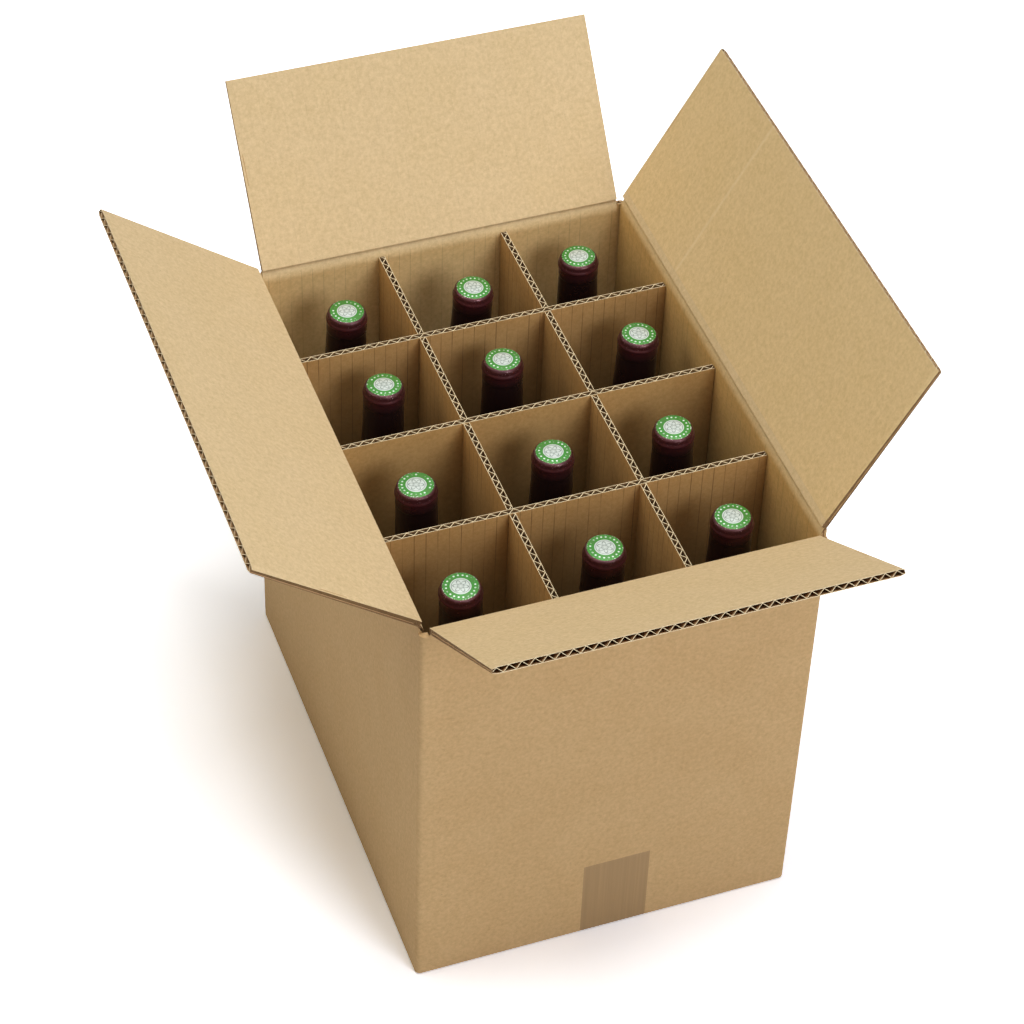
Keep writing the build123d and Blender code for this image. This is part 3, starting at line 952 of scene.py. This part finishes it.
# What is drawn on it is given as a share of its radius.
disc = {
    "radius": 10.9 * mm, "segments": 96, "overGlass": 0.36 * mm, "border": 0.35 * mm, "borderRise": 0.20 * mm,
    "ring": 4.0 * mm, "step": 0.25 * mm, "stepRise": 0.10 * mm,
    "roundel": 0.585, "roundelEdge": 0.01, "beads": 20, "beadRing": 0.80, "beadEdge": (0.050, 0.062),
    "petals": 6, "petalReach": (0.26, 0.16), "petalEdge": (0.015, 0.045),
    "leafReach": (0.12, 0.07), "leafEdge": (0.012, 0.04), "circle": 0.50, "circleEdge": (0.008, 0.025),
    "green": ((0.053, 0.215, 0.028), (0.040, 0.245, 0.024)), "bead": (0.74, 0.84, 0.76),
    "silver": (0.62, 0.68, 0.64), "ink": (0.08, 0.14, 0.10), "inkShare": 0.8,
    "scuff": (0.75, 0.78, 0.72), "scuffShare": 0.8,
    "wear": (260.0, 2.0), "wearSpread": (0.38, 0.5),
    "scuffs": (900.0, 2.0), "scuffSpread": (0.56, 0.64), "rim": (0.93, 0.96),
    "rough": (0.42, 0.32), "metal": 0.15, "relief": (0.5, 0.08 * mm),
}


def drawn(tree, out, line, edge):    # 1 on the line and 0 beside it
    return ramp(tree, maths(tree, "ABSOLUTE", maths(tree, "SUBTRACT", out, line)), *edge, 1.0, 0.0)


def beadRow(tree, out, angle):
    turn = maths(tree, "FRACT", maths(tree, "MULTIPLY", angle, disc["beads"] / (2 * math.pi)))
    pitch = 2 * math.pi * disc["beadRing"] / disc["beads"]
    along = maths(tree, "MULTIPLY", maths(tree, "SUBTRACT", turn, 0.5), pitch)
    away = maths(tree, "SUBTRACT", out, disc["beadRing"])
    squares = maths(tree, "ADD", maths(tree, "MULTIPLY", along, along), maths(tree, "MULTIPLY", away, away))
    return ramp(tree, maths(tree, "SQRT", squares), *disc["beadEdge"], 1.0, 0.0)


def rosette(tree, out, angle):
    petal = maths(tree, "ABSOLUTE", maths(tree, "COSINE", maths(tree, "MULTIPLY", angle, disc["petals"] / 2)))
    petalLine = maths(tree, "MULTIPLY_ADD", petal, *disc["petalReach"])
    leaf = maths(tree, "ABSOLUTE", maths(tree, "SINE", maths(tree, "MULTIPLY", angle, disc["petals"])))
    leafLine = maths(tree, "MULTIPLY_ADD", leaf, *disc["leafReach"])
    lines = maths(tree, "MAXIMUM", drawn(tree, out, petalLine, disc["petalEdge"]),
                  drawn(tree, out, leafLine, disc["leafEdge"]))
    return maths(tree, "MAXIMUM", lines, drawn(tree, out, disc["circle"], disc["circleEdge"]))


def discPrint():
    material, tree, shader = newMaterial("discPrint")
    coords = node(tree, "ShaderNodeTexCoord")
    fromMiddle = node(tree, "ShaderNodeVectorMath", {"operation": "SUBTRACT"},
                      _0=coords.outputs["UV"], _1=(0.5, 0.5, 0)).outputs[0]
    length = node(tree, "ShaderNodeVectorMath", {"operation": "LENGTH"}, _0=fromMiddle).outputs["Value"]
    out = maths(tree, "MULTIPLY", length, 2.0)
    axes = node(tree, "ShaderNodeSeparateXYZ", Vector=fromMiddle)
    angle = maths(tree, "ARCTAN2", axes.outputs[1], axes.outputs[0])

    worn = ramp(tree, noise(tree, coords.outputs["Object"], *disc["wear"]), *disc["wearSpread"])
    bead = maths(tree, "MULTIPLY", beadRow(tree, out, angle), worn)
    lines = rosette(tree, out, angle)
    inner, outer = disc["roundel"] - disc["roundelEdge"], disc["roundel"] + disc["roundelEdge"]
    roundel = ramp(tree, out, inner, outer, 1.0, 0.0)
    green = blendColours(tree, worn, *disc["green"])
    silver = stain(tree, disc["silver"], lines, disc["inkShare"], disc["ink"])
    printed = blendColours(tree, roundel, green, silver)
    printed = blendColours(tree, bead, printed, disc["bead"])
    scuff = ramp(tree, noise(tree, coords.outputs["Object"], *disc["scuffs"]), *disc["scuffSpread"])
    scuff = maths(tree, "MULTIPLY", ramp(tree, out, *disc["rim"]), scuff)
    printed = stain(tree, printed, scuff, disc["scuffShare"], disc["scuff"])
    relief = bump(tree, maths(tree, "SUBTRACT", roundel, lines), *disc["relief"])
    finishWith(tree, shader, printed, ramp(tree, roundel, 0.0, 1.0, *disc["rough"]), relief)
    shader.inputs["Metallic"].default_value = disc["metal"]
    return material


def makeDisc():
    bpy.ops.mesh.primitive_circle_add(
        vertices=disc["segments"], radius=disc["radius"], fill_type="NGON", calc_uvs=True)
    plate = settle("discModel", place=(0, 0, bottle["height"] + disc["overGlass"]))
    editMode("FACE")
    bpy.ops.mesh.select_all(action="SELECT")
    bpy.ops.mesh.inset(thickness=disc["border"])
    bpy.ops.transform.translate(value=(0, 0, disc["borderRise"]))
    bpy.ops.mesh.inset(thickness=disc["ring"])
    bpy.ops.mesh.inset(thickness=disc["step"])
    bpy.ops.transform.translate(value=(0, 0, disc["stepRise"]))
    bpy.ops.object.mode_set(mode="OBJECT")
    bpy.ops.object.shade_smooth_by_angle(angle=smoothAngle)
    return plate


foil = capsuleFoil()
printing = discPrint()
glass = darkGlass()
bark = corkBark()
capsuleModel = makeCapsule()
discModel = makeDisc()
random.seed(12)
for number in range(cells["rows"] * cells["columns"]):
    row, column = divmod(number, cells["columns"])
    ending = f"_{number + 1:02d}"
    stand = bottleStand(row, column) @ Matrix.Rotation(random.uniform(0, 2 * math.pi), 4, "Z")
    sleeve = copyPiece(capsuleModel, "foilCapsule" + ending)
    place(sleeve, stand)
    coat(sleeve, [foil])
    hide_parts("capsule" + ending)
    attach(sleeve, "box")
    plate = copyPiece(discModel, "printedDisc" + ending)
    place(plate, stand)
    coat(plate, [printing])
    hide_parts("capsule_disc" + ending)
    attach(plate, "box")
    recoat("glass_bottle" + ending, glass)
    recoat("cork" + ending, bark)
bpy.data.objects.remove(capsuleModel)
bpy.data.objects.remove(discModel)
print("bottles dressed")


# Tape

tape = {
    "film": ((0.41, 0.253, 0.104), (0.355, 0.22, 0.093)), "streaks": (700, 9, 9), "wrinkles": (120, 40, 40),
    "rough": (0.38, 0.5), "gloss": 0.35, "relief": (0.3, 0.2 * mm),
}


def tapeFilm():
    material, tree, shader = newMaterial("brownTape")
    spot = objectSpot(tree)
    streak = ramp(tree, noise(tree, stretched(tree, spot, tape["streaks"]), 1.0, 3.0, 0.6), *mostNoise)
    wrinkle = noise(tree, stretched(tree, spot, tape["wrinkles"]), 1.0, 2.0)
    rough = ramp(tree, streak, 0.0, 1.0, *tape["rough"])
    film = blendColours(tree, streak, *tape["film"])
    finishWith(tree, shader, film, rough, bump(tree, wrinkle, *tape["relief"]))
    shader.inputs["Specular IOR Level"].default_value = tape["gloss"]
    return material


recoat("bottom_tape", tapeFilm())
print("tape done")


# Floor, light and background

lamps = {
    "top": {"place": (0.11, -0.13, 3.0), "size": 2.25, "power": 55.5, "colour": (1.0, 1.0, 1.0)},
    "front": {"place": (0.8, -2.3, 1.7), "size": 1.3, "power": 29.0, "colour": (0.98, 1.0, 1.06)},
    "side": {"place": (-1.7, 0.6, 2.1), "size": 1.6, "power": 12.4, "colour": (1.0, 0.94, 0.78)},
}

# Near and far glow lift the seen white of the floor away from the box, a painted glow that leaves a painted
# shadow
# close around the box: where each starts and ends, and how strong it gets.
studio = {
    "sky": (1.0, 1.0, 0.97), "level": 0.105, "aim": (0, 0, 0.2),
    "floorSize": 30, "floorDrop": 0.3 * mm, "floor": (0.92, 0.92, 0.92), "floorSeen": (1.60, 1.65, 1.76),
    "nearGlow": (12 * mm, 65 * mm, 0.17), "farGlow": (0.1, 3.0, 0.85),
    "floorRough": 0.9, "floorGloss": 0.1,
}


def seenRays(tree):    # 1 for what the camera sees, straight, mirrored or through glass
    rays = node(tree, "ShaderNodeLightPath")
    seen = maths(tree, "MAXIMUM", rays.outputs["Is Camera Ray"], rays.outputs["Is Glossy Ray"])
    return maths(tree, "MAXIMUM", seen, rays.outputs["Is Transmission Ray"])


def glowFrom(tree, away, name):
    near, far, most = studio[name]
    return ramp(tree, away, near, far, 0.0, most)


def whiteFloor():
    material, tree, shader = newMaterial("whiteFloor")
    seen = seenRays(tree)
    finishWith(tree, shader, blendColours(tree, seen, studio["floor"], studio["floorSeen"]))
    axes = node(tree, "ShaderNodeSeparateXYZ", Vector=objectSpot(tree))
    awayX = maths(tree, "SUBTRACT", maths(tree, "ABSOLUTE", axes.outputs[0]), box["width"] / 2)
    awayY = maths(tree, "SUBTRACT", maths(tree, "ABSOLUTE", axes.outputs[1]), box["length"] / 2)
    away = maths(tree, "MAXIMUM", awayX, awayY)
    glow = maths(tree, "ADD", glowFrom(tree, away, "nearGlow"), glowFrom(tree, away, "farGlow"))
    tree.links.new(maths(tree, "MULTIPLY", seen, glow), shader.inputs["Emission Strength"])
    shader.inputs["Emission Color"].default_value = (1, 1, 1, 1)
    shader.inputs["Roughness"].default_value = studio["floorRough"]
    shader.inputs["Specular IOR Level"].default_value = studio["floorGloss"]
    return material


def makeSky():    # white where it is seen, and a faint light on the box
    world = bpy.data.worlds.new("studio")
    bpy.context.scene.world = world
    world.use_nodes = True
    tree = world.node_tree
    sky = tree.nodes["Background"]
    seen = seenRays(tree)
    tree.links.new(blendColours(tree, seen, studio["sky"], (1, 1, 1)), sky.inputs["Color"])
    tree.links.new(ramp(tree, seen, 0.0, 1.0, studio["level"], 1.0), sky.inputs["Strength"])


bpy.ops.mesh.primitive_plane_add(size=studio["floorSize"], location=(0, 0, -studio["floorDrop"]))
floor = bpy.context.object
floor.name = "floor"
coat(floor, [whiteFloor()])
for name, lamp in lamps.items():
    bpy.ops.object.light_add(type="AREA", location=lamp["place"])
    light = bpy.context.object
    light.name = name + "Light"
    light.data.shape = "DISK"
    light.data.size = lamp["size"]
    light.data.energy = lamp["power"]
    light.data.color = lamp["colour"]
    aim = Vector(studio["aim"]) - light.location
    light.rotation_euler = aim.to_track_quat("-Z", "Y").to_euler()
makeSky()
bpy.context.scene.view_settings.view_transform = "Standard"
print("studio set")
